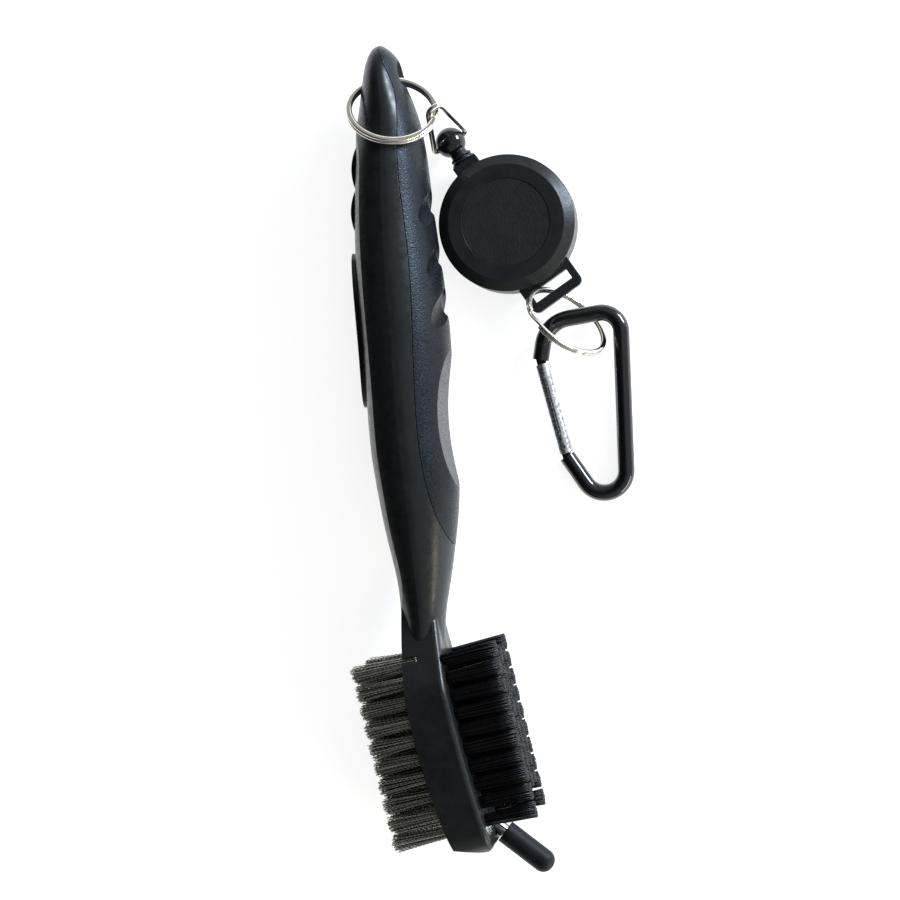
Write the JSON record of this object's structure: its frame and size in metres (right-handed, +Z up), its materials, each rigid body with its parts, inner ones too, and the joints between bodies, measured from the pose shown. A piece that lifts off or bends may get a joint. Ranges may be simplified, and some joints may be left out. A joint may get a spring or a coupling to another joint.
{
  "type": "club groove brush",
  "caption": "Two-sided golf club groove brush with nylon and wire bristles, a capped groove spike, and a retractable cord reel on split rings with a carabiner.",
  "frame": {"origin": "middle of the set's box, on the surface that it lies on", "axes": "+Y towards the handle's tip, +X towards the nylon bristles and the reel, +Z up from the surface"},
  "size_m": [0.0652, 0.1909, 0.0261],
  "materials": {
    "handle_plastic": "satin",
    "grip_rubber": "fine spark texture",
    "pad_rubber": "gloss",
    "nylon_bristle": "gloss",
    "wire_bristle": "drawn wire",
    "anchor_brass": "drawn wire",
    "spike_steel": "polished",
    "cap_rubber": "matte",
    "ring_nickel": "polished",
    "ball_plastic": "gloss",
    "ferrule_rubber": "satin",
    "cord_nylon": "braided",
    "reel_plastic": "satin",
    "disc_plastic": "grained",
    "spool_plastic": "satin",
    "spring_steel": "satin",
    "fastener_steel": "satin",
    "clip_black": "gloss",
    "gate_aluminium": "drawn"
  },
  "bodies": {
    "brush": {"handle_body": "handle_plastic", "grip_overmould": "grip_rubber", "thumb_pad": "pad_rubber", "finger_nibs": "pad_rubber", "nylon_tufts": "nylon_bristle", "nylon_corner_tufts": "nylon_bristle", "wire_tufts": "wire_bristle", "wire_corner_tufts": "wire_bristle", "nylon_anchors": "anchor_brass", "wire_anchors": "anchor_brass", "groove_spike": "spike_steel"},
    "cap": {"spike_cap": "cap_rubber"},
    "handle_ring": {"handle_ring": "ring_nickel"},
    "link": {"swivel_link": "ring_nickel"},
    "ball": {"swivel_ball": "ball_plastic"},
    "cord_end": {"cord_ferrule": "ferrule_rubber", "pull_cord": "cord_nylon"},
    "reel": {"reel_front_case": "reel_plastic", "reel_back_case": "reel_plastic", "reel_face_disc": "disc_plastic", "reel_screw": "fastener_steel", "reel_spring": "spring_steel"},
    "spool": {"reel_spool": "spool_plastic", "cord_winding": "cord_nylon"},
    "lug_ring": {"lug_ring": "ring_nickel"},
    "carabiner": {"carabiner_frame": "clip_black", "gate_pin": "fastener_steel"},
    "gate": {"carabiner_gate": "gate_aluminium", "gate_plunger": "spool_plastic", "gate_spring": "spring_steel"}
  },
  "joints": [
    {"name": "cap_pull", "type": "slide", "parent": "brush", "child": "cap", "axis": [0.809, -0.5878, 0], "range_m": [0, 0.03]},
    {"name": "handle_ring_swing", "type": "hinge", "parent": "brush", "child": "handle_ring", "pos_m": [-0.025, 0.0875, 0.013], "axis": [-0.9438, -0.1251, 0.306], "range_deg": [0, 180]},
    {"name": "link_swing", "type": "hinge", "parent": "handle_ring", "child": "link", "pos_m": [-0.01227, 0.07905, 0.0168], "axis": [0.0859, -0.7937, 0.6023], "range_deg": [0, 60]},
    {"name": "ball_swing", "type": "hinge", "parent": "link", "child": "ball", "pos_m": [-0.01063, 0.07388, 0.005], "axis": [-0.8115, -0.5682, 0.1362], "range_deg": [-30, 30]},
    {"name": "cord_swivel", "type": "hinge", "parent": "ball", "child": "cord_end", "pos_m": [-0.01063, 0.07388, 0.005], "axis": [0.5736, -0.8192, 0], "continuous": true},
    {"name": "cord_pull", "type": "slide", "parent": "cord_end", "child": "reel", "axis": [0.5736, -0.8192, 0], "range_m": [0, 0.6], "stiffness_N_per_m": 2, "springref_m": -0.5, "deforming": ["pull_cord"]},
    {"name": "spool_spin", "type": "hinge", "parent": "reel", "child": "spool", "pos_m": [0.00308, 0.0543, 0.005], "axis": [0, 0, 1], "range_deg": [0, 4000]},
    {"name": "lug_ring_swing", "type": "hinge", "parent": "reel", "child": "lug_ring", "pos_m": [0.01248, 0.03873, 0.00478], "axis": [-0.668, 0.047, 0.7427], "range_deg": [-5, 15]},
    {"name": "carabiner_swing", "type": "hinge", "parent": "lug_ring", "child": "carabiner", "pos_m": [0.02284, 0.03314, 0.00414], "axis": [-0.9855, -0.1697, -0.0089], "range_deg": [0, 45]},
    {"name": "gate_open", "type": "hinge", "parent": "carabiner", "child": "gate", "pos_m": [0.0161, 0.0022, 0.00252], "axis": [0, 0.0523, -0.9986], "range_deg": [0, 24], "stiffness_Nm_per_rad": 0.02, "springref_deg": -28.65}
  ],
  "couplings": [
    {"joint": "spool_spin", "follows": "cord_pull", "rad_per_m": 111}
  ]
}
